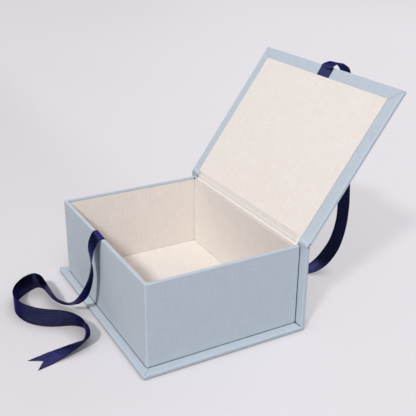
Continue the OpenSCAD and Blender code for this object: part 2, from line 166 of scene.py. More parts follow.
class BoxStage(bpy.types.PropertyGroup):
    """Camera, light and floor"""

    camera_at: bpy.props.FloatVectorProperty(
        name="Camera", description="Place of the camera", subtype="TRANSLATION", unit="LENGTH",
        size=3, default=(0.6331, -0.3139, 0.4162))
    azimuth: bpy.props.FloatProperty(
        name="Azimuth", description="Direction of the camera round the box", unit="ROTATION",
        default=math.radians(60.765))
    elevation: bpy.props.FloatProperty(
        name="Elevation", description="Height angle of the camera", unit="ROTATION",
        default=math.radians(23.538))
    roll: bpy.props.FloatProperty(
        name="Roll", description="Roll of the camera", unit="ROTATION",
        default=math.radians(0.607))
    lens: bpy.props.FloatProperty(
        name="Lens", description="Focal length on a 36 mm sensor, in millimetres", default=63.515)
    key_azimuth: bpy.props.FloatProperty(
        name="Key azimuth", description="Direction of the key light round the box",
        unit="ROTATION", default=math.radians(36))
    key_height: bpy.props.FloatProperty(
        name="Key height", description="Height angle of the key light", unit="ROTATION",
        default=math.radians(44))
    key_spread: bpy.props.FloatProperty(
        name="Key spread", description="Angle that the key light fills, as a soft box does",
        unit="ROTATION", default=math.radians(6.5))
    key_strength: bpy.props.FloatProperty(
        name="Key strength", description="Strength of the key light", default=2.3)
    floor_colour: bpy.props.FloatVectorProperty(
        name="Floor", description="Colour of the floor and backdrop", subtype="COLOR", size=3,
        min=0.0, max=1.0, default=(0.69, 0.672, 0.702))
    floor_lift: bpy.props.FloatProperty(
        name="Floor lift", description="Share of plain colour in the floor as it is seen",
        subtype="FACTOR", default=0.65)
    floor_glow: bpy.props.FloatProperty(
        name="Floor glow", description="Strength of that plain colour", default=1.18)


def opened(y, z):
    """Where the open lid has a point that the shut lid has at y, z."""
    dy, dz = y - AXIS.y, z - AXIS.z
    c, s = math.cos(OPENING), math.sin(OPENING)
    return AXIS.y + dy * c + dz * s, AXIS.z - dy * s + dz * c


def mesh_object(name, points, faces, uvs=None):
    """A mesh object with smooth faces; uvs gives one (u, v) for each point."""
    mesh = bpy.data.meshes.new(name)
    mesh.from_pydata([tuple(p) for p in points], [], faces)
    mesh.validate()
    mesh.polygons.foreach_set("use_smooth", [True] * len(mesh.polygons))
    if uvs is not None:
        layer = mesh.uv_layers.new(name="Lay")
        for loop in mesh.loops:
            layer.data[loop.index].uv = uvs[loop.vertex_index]
    obj = bpy.data.objects.new(name, mesh)
    bpy.context.scene.collection.objects.link(obj)
    return obj


def ring_faces(rows, columns):
    """Quads between rings of points, each ring with the same count of columns."""
    return [(r * columns + c, r * columns + (c + 1) % columns,
             (r + 1) * columns + (c + 1) % columns, (r + 1) * columns + c)
            for r in range(rows - 1) for c in range(columns)]


def end_faces(rows, columns):
    """Quads that close both ends of a flat ring: out along one face and back along the other."""
    return [(first + c, first + c + 1, first + columns - 2 - c, first + columns - 1 - c)
            for first in (0, (rows - 1) * columns) for c in range(columns // 2 - 1)]


def face_outwards(obj):
    """Turns all faces of a closed mesh outwards."""
    mesh = bmesh.new()
    mesh.from_mesh(obj.data)
    bmesh.ops.recalc_face_normals(mesh, faces=mesh.faces)
    mesh.to_mesh(obj.data)
    mesh.free()


def paint(obj, material):
    """Gives all of obj one material."""
    obj.data.materials.clear()
    obj.data.materials.append(material)


class Nodes:
    """A short way to add shader nodes and join them in one tree."""

    def __init__(self, tree):
        self.tree = tree

    def add(self, kind, inputs=None, **settings):
        """A node of this kind, with values or sockets for its inputs and its own settings."""
        node = self.tree.nodes.new(kind)
        for key, value in settings.items():
            setattr(node, key, value)
        for key, value in (inputs or {}).items():
            self.feed(node.inputs[key], value)
        return node

    def feed(self, socket, value):
        """Joins a socket to an input, or sets the input's value."""
        if isinstance(value, bpy.types.NodeSocket):
            self.tree.links.new(value, socket)
        else:
            socket.default_value = value

    def math(self, operation, *values):
        """One step of arithmetic on one to three values."""
        node = self.add("ShaderNodeMath", operation=operation)
        for socket, value in zip(node.inputs, values):
            self.feed(socket, value)
        return node.outputs[0]

    def between(self, value, low, high, to_low=0.0, to_high=1.0):
        """A smooth step from to_low to to_high as the value goes from low to high."""
        node = self.add("ShaderNodeMapRange", interpolation_type="SMOOTHSTEP")
        for socket, number in zip(node.inputs[:5], (value, low, high, to_low, to_high)):
            self.feed(socket, number)
        return node.outputs[0]

    def mix(self, factor, a, b, blend="MIX"):
        """Two colours mixed by factor."""
        node = self.add("ShaderNodeMix", data_type="RGBA", blend_type=blend)
        self.feed(node.inputs[0], factor)
        self.feed(node.inputs[6], a)
        self.feed(node.inputs[7], b)
        return node.outputs[2]

    def noise(self, vector, scale, detail=2.0, rough=0.5):
        """Soft noise from 0 to 1."""
        return self.add("ShaderNodeTexNoise", {
            "Vector": vector, "Scale": scale, "Detail": detail, "Roughness": rough}).outputs[0]

    def stretch(self, vector, scale):
        """Coordinates multiplied by a scale for each axis."""
        node = self.add("ShaderNodeVectorMath", operation="MULTIPLY")
        self.feed(node.inputs[0], vector)
        self.feed(node.inputs[1], scale)
        return node.outputs[0]


def new_group(name, inputs, outputs):
    """A shader node group with float, colour or vector sockets; returns it with its inner nodes."""
    group = bpy.data.node_groups.new(name, "ShaderNodeTree")
    for key, (kind, default) in inputs.items():
        socket = group.interface.new_socket(key, in_out="INPUT", socket_type=kind)
        if default is not None:
            socket.default_value = default
    for key, kind in outputs.items():
        group.interface.new_socket(key, in_out="OUTPUT", socket_type=kind)
    n = Nodes(group)
    return group, n, n.add("NodeGroupInput"), n.add("NodeGroupOutput")


def lay_group():
    """Cloth coordinates on the flat sides of a box, in metres, from its own frame and normals."""
    group, n, given, out = new_group(
        "Cloth lay", {"Tilt": ("NodeSocketFloat", 0.0)}, {"Lay": "NodeSocketVector"})
    place = n.add("ShaderNodeTexCoord")
    turned = []
    for output in ("Object", "Normal"):
        turn = n.add("ShaderNodeVectorRotate", {"Vector": place.outputs[output],
                                                "Angle": given.outputs["Tilt"]},
                     rotation_type="X_AXIS")
        turned.append(n.add("ShaderNodeSeparateXYZ", {"Vector": turn.outputs[0]}))
    spot, normal = turned
    flat_z = n.math("GREATER_THAN", n.math("ABSOLUTE", normal.outputs[2]), 0.7)
    flat_x = n.math("GREATER_THAN", n.math("ABSOLUTE", normal.outputs[0]), 0.7)
    on_side, on_front, on_top = [
        n.add("ShaderNodeCombineXYZ", {"X": spot.outputs[u], "Y": spot.outputs[v]}).outputs[0]
        for u, v in ((1, 2), (0, 2), (0, 1))]
    upright = n.add("ShaderNodeMix", {0: flat_x, 4: on_front, 5: on_side}, data_type="VECTOR")
    lay = n.add("ShaderNodeMix", {0: flat_z, 4: upright.outputs[1], 5: on_top}, data_type="VECTOR")
    n.feed(out.inputs["Lay"], lay.outputs[1])
    return group


def weave_group():
    """A plain weave with slubs: its height, the tone of its threads, and its cloudy patches."""
    group, n, given, out = new_group(
        "Plain weave",
        {"Lay": ("NodeSocketVector", None), "Pitch": ("NodeSocketFloat", 0.5 * MM),
         "Slub": ("NodeSocketFloat", 0.5)},
        {"Height": "NodeSocketFloat", "Tone": "NodeSocketFloat", "Mottle": "NodeSocketFloat"})
    lay, pitch = given.outputs["Lay"], given.outputs["Pitch"]
    sway = n.add("ShaderNodeTexNoise", {"Vector": lay, "Scale": 90.0, "Detail": 1.0})
    shift = n.stretch(n.add("ShaderNodeVectorMath", {0: sway.outputs[1], 1: (0.5, 0.5, 0.5)},
                            operation="SUBTRACT").outputs[0], (1.6 * MM, 1.6 * MM, 0.0))
    wavy = n.add("ShaderNodeVectorMath", {0: lay, 1: shift}, operation="ADD").outputs[0]
    parts = n.add("ShaderNodeSeparateXYZ", {"Vector": wavy})
    turns = [n.math("MULTIPLY", n.math("DIVIDE", parts.outputs[i], pitch), math.pi) for i in (0, 1)]
    waves = [n.math("COSINE", t) for t in turns]
    ridges = [n.math("ABSOLUTE", w) for w in waves]
    over = n.between(n.math("MULTIPLY", waves[0], waves[1]), -0.25, 0.25)
    under = n.math("SUBTRACT", 1.0, over)
    warp, weft = [n.math("MULTIPLY", ridge, n.math("MULTIPLY_ADD", side, 0.6, 0.4))
                  for ridge, side in zip(ridges, (over, under))]
    slubs = [n.noise(n.stretch(lay, s), 1.0, 3.0, 0.6)
             for s in ((2600.0, 55.0, 1.0), (55.0, 2600.0, 1.0))]
    streak = n.math("MAXIMUM", *[n.between(s, 0.52, 0.80) for s in slubs])
    height = n.math("ADD", n.math("MAXIMUM", warp, weft),
                    n.math("MULTIPLY", streak, given.outputs["Slub"]))
    tone = n.math("MULTIPLY", n.math("ADD", slubs[0], slubs[1]), 0.5)
    mottle = n.noise(lay, 38.0, 4.0, 0.55)
    n.feed(out.inputs["Height"], height)
    n.feed(out.inputs["Tone"], tone)
    n.feed(out.inputs["Mottle"], mottle)
    return group


def edge_group():
    """A mask of the edges of a piece, from Bevel normals, for their painted highlight and wear."""
    group, n, given, out = new_group(
        "Edge highlight and wear", {"Width": ("NodeSocketFloat", 0.6 * MM)}, {"Edge": "NodeSocketFloat"})
    bevel = n.add("ShaderNodeBevel", {"Radius": given.outputs["Width"]}, samples=4)
    here = n.add("ShaderNodeNewGeometry")
    same = n.add("ShaderNodeVectorMath", {0: bevel.outputs[0], 1: here.outputs["Normal"]},
                 operation="DOT_PRODUCT").outputs["Value"]
    n.feed(out.inputs["Edge"], n.between(same, 0.985, 0.82))
    return group


def crease_shade_group():
    """A mask of painted shade in the folds, seams and corners where a piece meets itself or the next
    one, from ambient occlusion.
    """
    group, n, given, out = new_group(
        "Crease shade", {"Reach": ("NodeSocketFloat", 2 * MM)}, {"Crease shade": "NodeSocketFloat"})
    open_sky = n.add("ShaderNodeAmbientOcclusion", {"Distance": given.outputs["Reach"]}, samples=8)
    n.feed(out.inputs["Crease shade"], n.between(open_sky.outputs["AO"], 0.80, 0.42))
    return group


def grouped(n, group, **inputs):
    """Places a node group in a material's tree with its own values."""
    node = n.add("ShaderNodeGroup", node_tree=group)
    for key, value in inputs.items():
        n.feed(node.inputs[key], value)
    return node.outputs


def rgba(colour, share=1.0):
    """An opaque colour, with its brightness scaled by share."""
    return tuple(min(1.0, c * share) for c in colour) + (1.0,)


def new_material(name, colour, **shader):
    """A Principled material of about this colour; returns it, its nodes and its shader node."""
    material = bpy.data.materials.new(name)
    material.use_nodes = True
    n = Nodes(material.node_tree)
    surface = material.node_tree.nodes["Principled BSDF"]
    for key, value in shader.items():
        surface.inputs[key.replace("_", " ")].default_value = value
    material.diffuse_color = rgba(colour)
    return material, n, surface


def fold_shade_lines(n, lay, places):
    """A mask of fine lines of painted shade across the cloth, at these places along it."""
    along = n.add("ShaderNodeSeparateXYZ", {"Vector": lay}).outputs[1]
    lines = [n.between(n.math("ABSOLUTE", n.math("SUBTRACT", along, place)), 0.7 * MM, 0.1 * MM)
             for place in places]
    return functools.reduce(lambda a, b: n.math("MAXIMUM", a, b), lines)


def edge_highlight_and_wear(n, groups):
    """A mask of the paler edges, a painted highlight that is partly wear; weaker on upright faces."""
    edge = grouped(n, groups["edge"], Width=1.4 * MM)["Edge"]
    facing = n.add("ShaderNodeSeparateXYZ",
                   {"Vector": n.add("ShaderNodeNewGeometry").outputs["Normal"]})
    share = n.between(n.math("ABSOLUTE", facing.outputs[2]), 0.0, 0.5, 0.35, 0.85)
    return n.math("MULTIPLY", edge, share)


def woven_material(name, groups, settings, tilt=0.0, uv=False, edge_wear_and_highlight=1.22, sheen=0.2,
                   mottling=0.05, crease_shade_depth=0.8, folds=()):
    """Cloth or linen: woven threads of slightly mixed tone, slubs, a soft sheen, paler edges with a
    painted highlight and wear, and painted shade in creases.
    """
    colour = settings.colour
    material, n, surface = new_material(name, colour, Sheen_Weight=sheen, Sheen_Roughness=0.55,
                                        Specular_IOR_Level=0.25)
    if uv:
        lay = n.add("ShaderNodeUVMap", uv_map="Lay").outputs[0]
    else:
        lay = grouped(n, groups["lay"], Tilt=tilt)["Lay"]
    weave = grouped(n, groups["weave"], Lay=lay, Pitch=settings.thread, Slub=0.45)

    threads = n.mix(n.between(weave["Tone"], 0.36, 0.64), rgba(colour, 0.90), rgba(colour, 1.08))
    gaps = n.mix(n.between(weave["Height"], 0.25, 0.85), rgba(colour, 0.80), threads)
    faded = (colour[0] * 1.05, colour[1], colour[2] * 0.97)
    cloudy = n.mix(n.between(weave["Mottle"], 0.3, 0.7, 0.0, mottling), gaps, rgba(faded, 1.25))
    rubbed_and_highlit = (colour[0] * 1.02, colour[1], colour[2] * 1.03)
    # Paler edges: a painted highlight along them, partly wear
    worn_and_highlit = n.mix(edge_highlight_and_wear(n, groups), cloudy, rgba(rubbed_and_highlit, edge_wear_and_highlight))

    # Painted shade: a darker colour in creases, seams and corners, and along the fold lines
    crease = grouped(n, groups["crease"], Reach=3 * MM)["Crease shade"]
    if folds:
        crease = n.math("MAXIMUM", crease, n.math("MULTIPLY", fold_shade_lines(n, lay, folds), 0.75))
    shaded = (colour[0] * 0.86, colour[1] * 0.95, colour[2])
    n.feed(surface.inputs["Base Color"], n.mix(crease, worn_and_highlit, rgba(shaded, 1.0 - crease_shade_depth)))
    n.feed(surface.inputs["Roughness"], n.between(weave["Height"], 0.2, 1.2, 0.92, 0.72))
    bump = n.add("ShaderNodeBump", {"Height": weave["Height"], "Distance": settings.relief,
                                    "Strength": 0.6})
    n.feed(surface.inputs["Normal"], bump.outputs[0])
    return material


def satin_material(settings):
    """Double-faced satin: fine warp floats along the ribbon, a bright lengthwise sheen, firm edges."""
    colour = settings.colour
    material, n, surface = new_material("navy_satin", colour, Metallic=0.9, Anisotropic=0.8,
                                        Specular_IOR_Level=0.3)
    surface.inputs["Specular Tint"].default_value = rgba((0.30, 0.28, 0.60))
    lay = n.add("ShaderNodeUVMap", uv_map="Lay").outputs[0]
    parts = n.add("ShaderNodeSeparateXYZ", {"Vector": lay})
    floats = n.noise(n.stretch(lay, (5200.0, 130.0, 1.0)), 1.0, 2.0, 0.6)
    streaks = n.noise(n.stretch(lay, (900.0, 22.0, 1.0)), 1.0, 3.0, 0.6)
    cross = n.noise(n.stretch(lay, (120.0, 900.0, 1.0)), 1.0, 2.0, 0.5)
    waves = n.noise(n.stretch(lay, (35.0, 130.0, 1.0)), 1.0, 2.0, 0.5)
    inset = n.math("SUBTRACT", settings.width / 2, n.math("ABSOLUTE", parts.outputs[0]))
    selvedge = n.between(inset, 0.9 * MM, 0.6 * MM)
    bars = n.math("SINE", n.math("MULTIPLY", parts.outputs[1], math.tau / SELVEDGE_PITCH))
    rib = n.math("MULTIPLY", n.math("MULTIPLY", bars, 0.5), selvedge)

    fine = n.mix(n.between(floats, 0.3, 0.7), rgba(colour, 0.75), rgba(colour, 1.2))
    tone = n.mix(n.between(streaks, 0.35, 0.65), n.mix(0.55, fine, rgba(colour, 0.2)), fine)
    edged = n.mix(n.math("MULTIPLY", selvedge, 0.8), tone, rgba(colour, 0.25))
    n.feed(surface.inputs["Base Color"], edged)
    rough = n.math("ADD", n.between(floats, 0.3, 0.7, 0.20, 0.29), n.math("MULTIPLY", selvedge, 0.5))
    n.feed(surface.inputs["Roughness"], rough)

    height = n.math("ADD", n.math("MULTIPLY", floats, 0.6),
                    n.math("ADD", n.math("MULTIPLY", cross, 0.5), rib))
    bend = n.add("ShaderNodeBump", {"Height": waves, "Distance": 1.2 * MM, "Strength": 0.6})
    bump = n.add("ShaderNodeBump", {"Height": height, "Distance": 0.06 * MM, "Strength": 0.35,
                                    "Normal": bend.outputs[0]})
    n.feed(surface.inputs["Normal"], bump.outputs[0])
    tangent = n.add("ShaderNodeTangent", direction_type="UV_MAP", uv_map="Lay")
    n.feed(surface.inputs["Tangent"], tangent.outputs[0])
    return material


def fibre_material(name, groups, colour, fleck, scale=900.0):
    """Board or paper: short fibres and flecks in a plain pulp colour."""
    material, n, surface = new_material(name, colour, Specular_IOR_Level=0.2)
    lay = grouped(n, groups["lay"], Tilt=0.0)["Lay"]
    fibres = n.noise(n.stretch(lay, (1.0, 0.35, 1.0)), scale, 4.0, 0.7)
    flecks = n.between(n.noise(lay, scale * 0.6, 2.0), 0.66, 0.74)
    pulp = n.mix(n.between(fibres, 0.3, 0.7), rgba(colour, 0.88), rgba(colour, 1.10))
    n.feed(surface.inputs["Base Color"], n.mix(n.math("MULTIPLY", flecks, fleck), pulp,
                                               rgba(colour, 0.55)))
    n.feed(surface.inputs["Roughness"], n.between(fibres, 0.2, 0.8, 0.95, 0.85))
    bump = n.add("ShaderNodeBump", {"Height": fibres, "Distance": 0.05 * MM, "Strength": 0.5})
    n.feed(surface.inputs["Normal"], bump.outputs[0])
    return material


MATERIALS = {}


def materials():
    """Builds the shared groups and every material once."""
    if MATERIALS:
        return MATERIALS
    scene = bpy.context.scene
    groups = {"lay": lay_group(), "weave": weave_group(), "edge": edge_group(),
              "crease": crease_shade_group()}
    cloth, lining = scene.box_cloth, scene.box_lining
    MATERIALS["cloth"] = woven_material("blue_book_cloth", groups, cloth)
    MATERIALS["lid_cloth"] = woven_material("blue_book_cloth_lid", groups, cloth, tilt=OPENING)
    MATERIALS["hinge_cloth"] = woven_material("blue_book_cloth_hinge", groups, cloth, uv=True)
    linen = {"sheen": 0.1, "mottling": 0.03, "crease_shade_depth": 0.25}
    MATERIALS["lining"] = woven_material("cream_linen", groups, lining, edge_wear_and_highlight=1.1, **linen)
    MATERIALS["lid_lining"] = woven_material("cream_linen_lid", groups, lining, tilt=OPENING,
                                             edge_wear_and_highlight=1.1, **linen)
    MATERIALS["hinge_liner"] = woven_material("cream_linen_hinge", groups, lining, uv=True,
                                              edge_wear_and_highlight=1.05, folds=STRIP_FOLD_SHADE, **linen)
    MATERIALS["satin"] = satin_material(scene.box_ribbon)
    MATERIALS["board"] = fibre_material("greyboard", groups, (0.36, 0.35, 0.33), 0.5)
    MATERIALS["filler"] = fibre_material("filler_paper", groups, (0.62, 0.58, 0.50), 0.2)
    MATERIALS["tape"] = fibre_material("gummed_tape", groups, (0.50, 0.36, 0.21), 0.3, 1400.0)
    return MATERIALS


NODE_FINISH = {
    "cloth": ("base_cloth", "spine_cloth", "tray_cloth"),
    "lid_cloth": ("lid_cloth",),
    "lining": ("floor_lining", "front_lining", "back_lining", "left_lining", "right_lining"),
    "lid_lining": ("lid_lining",),
    "board": ("base_board", "spine_board", "tray_floor_board", "tray_front_board",
              "tray_back_board", "tray_left_board", "tray_right_board", "lid_board"),
    "filler": ("base_infill", "spine_infill"),
    "tape": ("corner_stay_front_left", "corner_stay_front_right", "corner_stay_back_left",
             "corner_stay_back_right"),
}


def rows_mm(*rows):
    """Route rows given as [x, y, height, heading, lean] in millimetres and degrees, in metres."""
    return [np.array([x * MM, y * MM, z * MM, heading, lean]) for x, y, z, heading, lean in rows]


def front_route():
    """The front tie: up behind the lining, over the rim, half a twist, a loop on edge, a flat tail."""
    x, y, top, rim = FRONT_TIE_X / MM, FRONT_Y / MM, LINING_TOP / MM, RIM_Z / MM
    tab_y = y + (WALL_TO_LINING + FRONT_TAB_IN) / MM
    lie = LIE / MM
    return rows_mm(
        (x, tab_y, top - RIBBON_TAB / MM, 0, 0), (x, tab_y, top - 8, 0, 0), (x, tab_y, top, 0, 0),
        (x, y + 4.1, rim + 0.2, 0, -2), (x, y + 2.4, rim + 0.6, 0, -3), (x, y - 1, rim + 0.2, 0, -3),
        (x, y - 3.8, rim - 2.7, 2, 3), (x, y - 6.3, rim - 8, 2, 9),
        (-4.5, y - 8.6, rim - 15.5, -4, 14), (-4, y - 9.4, rim - 24.5, -14, 16),
        (-3, y - 9.8, 57, -27, 15), (-3.5, -95.8, 46, -38, 14),
        (-5.5, -99, 34.5, -48, 14), (-9, -102.5, 24.5, -55, 17), (-14.5, -106.3, 15.5, -58, 24),
        (-22, -111, 8, -56, 33), (-31.5, -116, 3.5, -50, 44), (-42, -120, 1, -38, 53),
        (-56, -122.5, 0.5, -30, 64), (-71, -123, lie, -25, 68), (-83, -123.5, lie, -22, 72),
        (-90, -126, lie, -18, 78), (-92, -131, lie, -14, 88), (-89.5, -139, lie, -12, 97),
        (-83, -148, lie, -12, 101), (-72.5, -157, lie, -12, 101), (-59, -163, lie, -10, 100),
        (-44.5, -163, lie, -10, 100), (-30.5, -159, lie, -10, 100), (-19, -151.5, lie, -10, 99),
        (-10, -141.5, lie, -10, 96), (-4, -131.5, lie, -12, 90), (1.5, -122.5, lie, -30, 79),
        (8, -116, lie, -45, 71), (13.5, -113.4, lie, -52, 68), (18.5, -113.2, lie, -55, 70),
        (25, -114.1, lie, -32, 73), (32.6, -115.6, lie, 5, 57), (38.8, -118.5, lie, 12, 40),
        (40.5, -124, lie, 10, 30), (42, -133, lie, 12, 20), (44, -145, lie, 14, 10),
        (45.5, -156, lie, 14, 3), (47, -163, lie, 13, 0), (49.5, -175.5, lie, 10, 0))


def lid_route():
    """The lid's tie: out from under the lining, over the front edge and down behind the box."""
    edge = opened(CASE_FRONT, LID_FACE)
    ey, ez = edge[0] / MM, edge[1] / MM
    tab = LID_FACE - LID_TAB_IN
    on_lid = [(1, *(v / MM for v in opened(y, z)), heading, lean) for y, z, heading, lean in (
        (LID_LINING_FRONT + RIBBON_TAB, tab, 0, 0), (LID_LINING_FRONT + 8 * MM, tab, 0, 0),
        (LID_LINING_FRONT + 1 * MM, tab, 0, 0), (LID_LINING_FRONT - 3.5 * MM, tab - 0.1 * MM, 0, 0),
        (CASE_FRONT + 5 * MM, LID_FACE - 0.7 * MM, -1, 0),
        (CASE_FRONT + 1 * MM, LID_FACE - 1.2 * MM, -3, 1))]
    lie = LIE / MM
    return rows_mm(
        *on_lid, (1, ey + 3, ez + 1.8, -7, 2), (1.5, ey + 6, ez + 2.6, -10, 4),
        (2, ey + 9, ez + 2.1, -11, 5), (3, ey + 12.7, ez + 0.6, -11, 8),
        (4, ey + 16.0, ez - 2.7, -10, 11), (6, ey + 19.5, ez - 9, -6, 12),
        (10, ey + 22, ez - 27, -4, 11), (14, ey + 23, ez - 45, -3, 11),
        (21, ey + 19, ez - 87, -3, 9), (29, ey + 13, 110, -1, 7), (33, 200, 85, 1, 2),
        (35, 197, 61, -3, -4), (34, 190, 35, -4, -11), (29, 182, 16, -9, -15),
        (23, 174, 5, -20, -10), (17, 166, 1, -30, -3),
        (9, 156, lie, -38, 0), (-5, 138, lie, -38, 0), (-19, 120, lie, -38, 0),
        (-28.5, 108, lie, -38, 0))


def smooth_rows(rows, steps):
    """Catmull-Rom curve through the rows of a route."""
    last = len(rows) - 1
    out = []
    for i in range(last):
        a, b, c, d = (rows[max(0, min(last, k))] for k in (i - 1, i, i + 1, i + 2))
        for k in range(steps):
            u = k / steps
            out.append(0.5 * (2 * b + (c - a) * u + (2 * a - 5 * b + 4 * c - d) * u * u
                              + (3 * b - a - 3 * c + d) * u ** 3))
    return out + [rows[last]]


def running_lengths(points):
    """The distance along a line of points, at each of them."""
    return np.concatenate([[0], np.cumsum([(b - a).length for a, b in zip(points, points[1:])])])


def width_direction(heading, lean):
    """The direction across a ribbon that heads round by one angle and leans up by the other."""
    heading, lean = math.radians(heading), math.radians(lean)
    return Vector((math.cos(lean) * math.cos(heading), math.cos(lean) * math.sin(heading),
                   math.sin(lean)))


def ribbon(name, rows, settings, steps=8):
    """A satin ribbon swept along a route, with firm edges and a swallowtail at its end."""
    line = smooth_rows(rows, steps)
    half, thick, notch = settings.width / 2, settings.thickness, settings.notch
    across = [width_direction(p[3], p[4]) for p in line]
    middles = [Vector((p[0], p[1], p[2] + half * abs(w.z))) for p, w in zip(line, across)]
    lengths = running_lengths(middles)
    outer = (0, 0.25, 0.5, 0.75, 0.92, 0.955, 0.985, 1)
    shares = np.array([-share for share in outer[:0:-1]] + list(outer))
    firm, rounded = np.abs(shares) > 0.93, np.abs(shares) > 0.99
    swell = np.where(firm, 1.25, 1.0) * np.where(rounded, 0.35, 1.0)

    points, uvs = [], []
    for i, p in enumerate(line):
        ahead, behind = middles[min(i + 1, len(line) - 1)], middles[max(i - 1, 0)]
        along = (ahead - behind).normalized()
        normal = along.cross(across[i]).normalized()
        width = normal.cross(along)
        rise = half * abs(width.z) + thick / 2 * abs(normal.z)
        centre = Vector((p[0], p[1], p[2] + rise))
        end_share = max(0.0, 1 - (lengths[-1] - lengths[i]) / (2.4 * notch))
        for side in (1, -1):
            for share, fat in zip(shares[::side], swell[::side]):
                cut = notch * max(0.0, 1 - abs(share)) * end_share
                points.append(centre + width * share * half + normal * side * fat * thick / 2
                              - along * cut)
                uvs.append((share * half, lengths[i] - cut))
    columns = 2 * len(shares)
    faces = ring_faces(len(line), columns) + end_faces(len(line), columns)
    obj = mesh_object(name, points, faces, uvs)
    face_outwards(obj)
    obj["length"] = float(lengths[-1])
    return obj


def swept_sheet(name, profile, low_x, high_x, thick, segments=48):
    """A sheet of even thickness: a [y, z] profile swept along X, with lay coordinates."""
    xs = np.linspace(low_x, high_x, segments + 1)
    line = [Vector((0, y, z)) for y, z in profile]
    normals = []
    for i in range(len(line)):
        step = line[min(i + 1, len(line) - 1)] - line[max(i - 1, 0)]
        normals.append(Vector((0, -step.z, step.y)).normalized())
    along = running_lengths(line)
    points, uvs = [], []
    for x in xs:
        for side in (1, -1):
            order = range(len(line)) if side > 0 else reversed(range(len(line)))
            for i in order:
                points.append(Vector((x, 0, 0)) + line[i] + normals[i] * side * thick / 2)
                uvs.append((x, along[i]))
    columns = 2 * len(line)
    faces = ring_faces(len(xs), columns) + end_faces(len(xs), columns)
    obj = mesh_object(name, points, faces, uvs)
    face_outwards(obj)
    return obj


def rounded_path(corners, radius, steps=5):
    """A [y, z] path through corners, each turned with an arc-like curve of about radius."""
    path = [corners[0]]
    for a, b, c in zip(corners, corners[1:], corners[2:]):
        a, b, c = (Vector(p) for p in (a, b, c))
        reach_in = min(radius, (a - b).length * 0.49)
        reach_out = min(radius, (c - b).length * 0.49)
        start, end = b + (a - b).normalized() * reach_in, b + (c - b).normalized() * reach_out
        for k in range(steps + 1):
            u = k / steps
            path.append(tuple(start * (1 - u) ** 2 + b * 2 * u * (1 - u) + end * u * u))
    return path + [corners[-1]]


class BOX_OT_finish_nodes(bpy.types.Operator):
    """Gives every node of the frame that no new piece replaces its own finish"""

    bl_idname = "photobox.finish_nodes"
    bl_label = "Finish boards, cloth and linings"

    def execute(self, context):
        made = materials()
        for finish, nodes in NODE_FINISH.items():
            for node in nodes:
                paint(frame["nodes"][node], made[finish])
        return {"FINISHED"}


def bend_with_lid(piece, finish):
    """Paints a hinge piece and bakes its place into its mesh."""
    paint(piece, materials()[finish])
    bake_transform(piece)


class BOX_OT_hinge(bpy.types.Operator):
    """Makes the outer hinge cloth and the inner hinge strip, shaped for the open lid"""

    bl_idname = "photobox.hinge"
    bl_label = "Hinge cloth and strip"

    def execute(self, context):
        inner_low = Vector((SPINE_LOW.y + CLOTH / 2, SPINE_HIGH.z))
        inner_high = Vector(opened(LID_BACK, LID_FACE + CLOTH / 2))
        middle = (inner_low + inner_high) / 2
        taut = (inner_high - inner_low).normalized()
        self.fold(middle + Vector((taut.y, -taut.x)) * CREASE_DEPTH)
        self.lips([tuple(inner_low), tuple(middle), tuple(inner_high)])
        self.strip(tuple(inner_high))
        return {"FINISHED"}

    def fold(self, crease):
        """The outer cloth, creased into the gap between spine and lid."""
        outer = rounded_path([
            (SPINE_HIGH.y - CLOTH / 2, SPINE_HIGH.z), tuple(crease),
            opened(LID_BACK, LID_FACE + LID_THICK - CLOTH / 2)], CREASE_RADIUS)
        cloth = swept_sheet("hinge_cloth_fold", outer, BASE_LOW.x, BASE_HIGH.x, CLOTH)
        bend_with_lid(cloth, "hinge_cloth")
        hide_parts("hinge_cloth")

    def lips(self, profile):
        """The outer cloth folded round to the inside, beside the strip at both ends."""
        lip = (CASE_WIDTH - INSIDE_WIDTH) / 2
        for side, word in ((-1, "left"), (1, "right")):
            edges = sorted((side * CASE_WIDTH / 2, side * (CASE_WIDTH / 2 - lip)))
            fold = swept_sheet(f"hinge_cloth_lip_{word}", profile, *edges, CLOTH, segments=8)
            bend_with_lid(fold, "hinge_cloth")

    def strip(self, lid_edge):
        """The inner strip: down the back wall, over its top, up the spine and onto the lid."""
        wall, spine, top = LINER_LOW.y + CLOTH / 2, SPINE_LOW.y + CLOTH / 2, RIM_Z - CLOTH / 2
        path = rounded_path([
            (wall, LINER_LOW.z), (wall, top), (spine, top), (spine, SPINE_HIGH.z + CLOTH / 4),
            lid_edge, opened(LID_BACK - STRIP_ON_LID, LID_FACE + CLOTH / 2)], STRIP_RADIUS)
        liner = swept_sheet("hinge_strip", path, LINER_LOW.x, LINER_HIGH.x, STRIP)
        bend_with_lid(liner, "hinge_liner")
        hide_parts("hinge_liner")


class BOX_OT_front_tie(bpy.types.Operator):
    """Makes the front ribbon, from under the front lining to its swallowtail on the table"""

    bl_idname = "photobox.front_tie"
    bl_label = "Front ribbon"

    def execute(self, context):
        settings = context.scene.box_ribbon
        tie = ribbon("front_tie", front_route(), settings)
        paint(tie, materials()["satin"])
        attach(tie, "case")
        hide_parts("front_ribbon")
        return {"FINISHED"}


class BOX_OT_lid_tie(bpy.types.Operator):
    """Makes the lid's ribbon, which hangs from the open lid's front edge"""

    bl_idname = "photobox.lid_tie"
    bl_label = "Lid ribbon"

    def execute(self, context):
        settings = context.scene.box_ribbon
        tie = ribbon("lid_tie", lid_route(), settings)
        paint(tie, materials()["satin"])
        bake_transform(tie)
        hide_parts("lid_ribbon_loop", "lid_ribbon_tail")
        return {"FINISHED"}


def towards(azimuth, height):
    """The unit vector from the box towards a place at these angles, in radians; 0 is in front."""
    return Vector((math.sin(azimuth) * math.cos(height), -math.cos(azimuth) * math.cos(height),
                   math.sin(height)))


